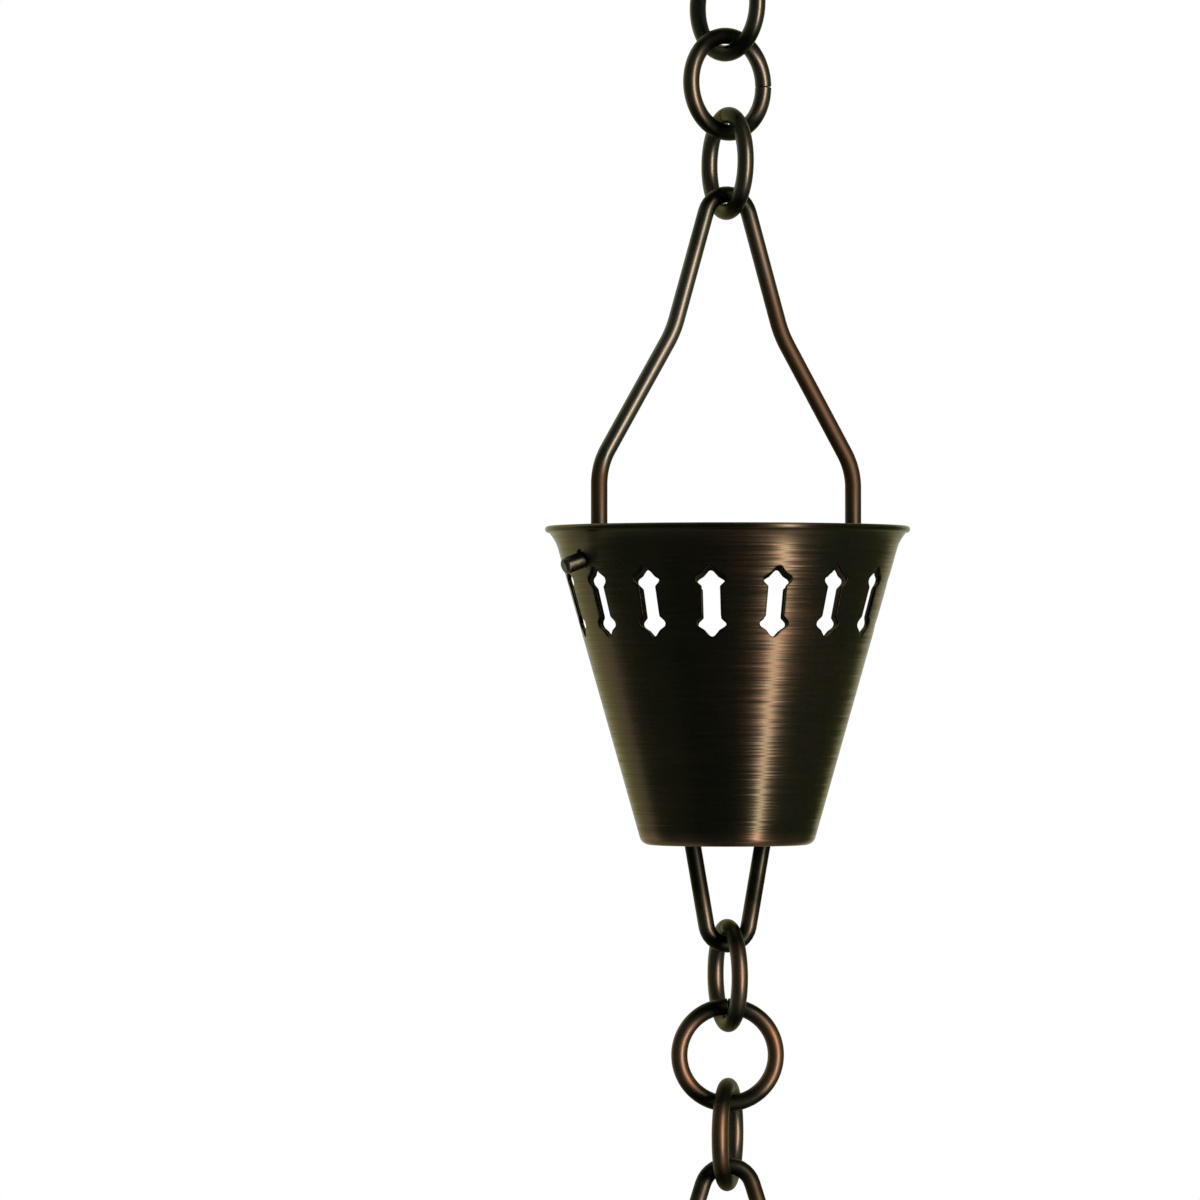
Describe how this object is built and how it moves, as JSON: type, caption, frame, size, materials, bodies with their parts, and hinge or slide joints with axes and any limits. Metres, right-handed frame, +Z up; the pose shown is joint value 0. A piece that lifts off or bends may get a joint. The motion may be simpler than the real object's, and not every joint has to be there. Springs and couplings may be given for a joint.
{
  "type": "rain chain",
  "caption": "Rain chain of pierced tapered cups on wire bails, linked by open wire rings, that leads roof water down.",
  "frame": {"origin": "the point at the top of the uppermost ring's eye that the chain hangs by", "axes": "+Z up along the hanging chain, X in the plane of the uppermost ring and of the middle cup's bail"},
  "size_m": [0.092, 0.089, 0.757],
  "materials": {
    "ring_wire": "satin",
    "bail_wire": "satin",
    "hook_wire": "satin",
    "cup_sheet": "satin"
  },
  "bodies": {
    "ring_01": {"ring_01": "ring_wire"},
    "ring_02": {"ring_02": "ring_wire"},
    "ring_03": {"ring_03": "ring_wire"},
    "bail_1": {"bail_1": "bail_wire"},
    "cup_1": {"cup_1": "cup_sheet", "hook_1": "hook_wire"},
    "ring_04": {"ring_04": "ring_wire"},
    "ring_05": {"ring_05": "ring_wire"},
    "ring_06": {"ring_06": "ring_wire"},
    "bail_2": {"bail_2": "bail_wire"},
    "cup_2": {"cup_2": "cup_sheet", "hook_2": "hook_wire"},
    "ring_07": {"ring_07": "ring_wire"},
    "ring_08": {"ring_08": "ring_wire"},
    "ring_09": {"ring_09": "ring_wire"},
    "bail_3": {"bail_3": "bail_wire"},
    "cup_3": {"cup_3": "cup_sheet", "hook_3": "hook_wire"},
    "ring_10": {"ring_10": "ring_wire"},
    "ring_11": {"ring_11": "ring_wire"}
  },
  "joints": [
    {"name": "ring_02_swing", "type": "hinge", "parent": "ring_01", "child": "ring_02", "pos_m": [0, 0, -0.0216], "axis": [1, 0, 0], "range_deg": [-60, 60]},
    {"name": "ring_03_swing", "type": "hinge", "parent": "ring_02", "child": "ring_03", "pos_m": [0, 0, -0.04095], "axis": [0, 1, 0], "range_deg": [-60, 60]},
    {"name": "bail_1_swing", "type": "hinge", "parent": "ring_03", "child": "bail_1", "pos_m": [0, 0, -0.0603], "axis": [-0.9816, -0.1908, 0], "range_deg": [-60, 60]},
    {"name": "cup_1_tilt", "type": "hinge", "parent": "bail_1", "child": "cup_1", "pos_m": [0, 0, -0.14535], "axis": [0.2756, -0.9613, 0], "range_deg": [-45, 45]},
    {"name": "ring_04_swing", "type": "hinge", "parent": "cup_1", "child": "ring_04", "pos_m": [0, 0, -0.23895], "axis": [0.9945, 0.1045, 0], "range_deg": [-60, 60]},
    {"name": "ring_05_swing", "type": "hinge", "parent": "ring_04", "child": "ring_05", "pos_m": [0, 0, -0.2583], "axis": [-0.0741, 0.9973, 0], "range_deg": [-60, 60]},
    {"name": "ring_06_swing", "type": "hinge", "parent": "ring_05", "child": "ring_06", "pos_m": [0, 0, -0.27765], "axis": [-0.9897, -0.1435, 0], "range_deg": [-60, 60]},
    {"name": "bail_2_swing", "type": "hinge", "parent": "ring_06", "child": "bail_2", "pos_m": [0, 0, -0.297], "axis": [-0.2036, -0.979, 0], "range_deg": [-60, 60]},
    {"name": "cup_2_tilt", "type": "hinge", "parent": "bail_2", "child": "cup_2", "pos_m": [0, 0, -0.38205], "axis": [0.9979, -0.0654, 0], "range_deg": [-45, 45]},
    {"name": "ring_07_swing", "type": "hinge", "parent": "cup_2", "child": "ring_07", "pos_m": [0, 0, -0.47565], "axis": [-0.9239, 0.3827, 0], "range_deg": [-60, 60]},
    {"name": "ring_08_swing", "type": "hinge", "parent": "ring_07", "child": "ring_08", "pos_m": [0, 0, -0.495], "axis": [-0.3297, -0.9441, 0], "range_deg": [-60, 60]},
    {"name": "ring_09_swing", "type": "hinge", "parent": "ring_08", "child": "ring_09", "pos_m": [0, 0, -0.51435], "axis": [0.8767, -0.481, 0], "range_deg": [-60, 60]},
    {"name": "bail_3_swing", "type": "hinge", "parent": "ring_09", "child": "bail_3", "pos_m": [0, 0, -0.5337], "axis": [0.682, 0.7314, 0], "range_deg": [-60, 60]},
    {"name": "cup_3_tilt", "type": "hinge", "parent": "bail_3", "child": "cup_3", "pos_m": [0, 0, -0.61875], "axis": [-0.8767, 0.481, 0], "range_deg": [-45, 45]},
    {"name": "ring_10_swing", "type": "hinge", "parent": "cup_3", "child": "ring_10", "pos_m": [0, 0, -0.71235], "axis": [-0.9613, 0.2756, 0], "range_deg": [-60, 60]},
    {"name": "ring_11_swing", "type": "hinge", "parent": "ring_10", "child": "ring_11", "pos_m": [0, 0, -0.7317], "axis": [-0.3947, -0.9188, 0], "range_deg": [-60, 60]}
  ]
}
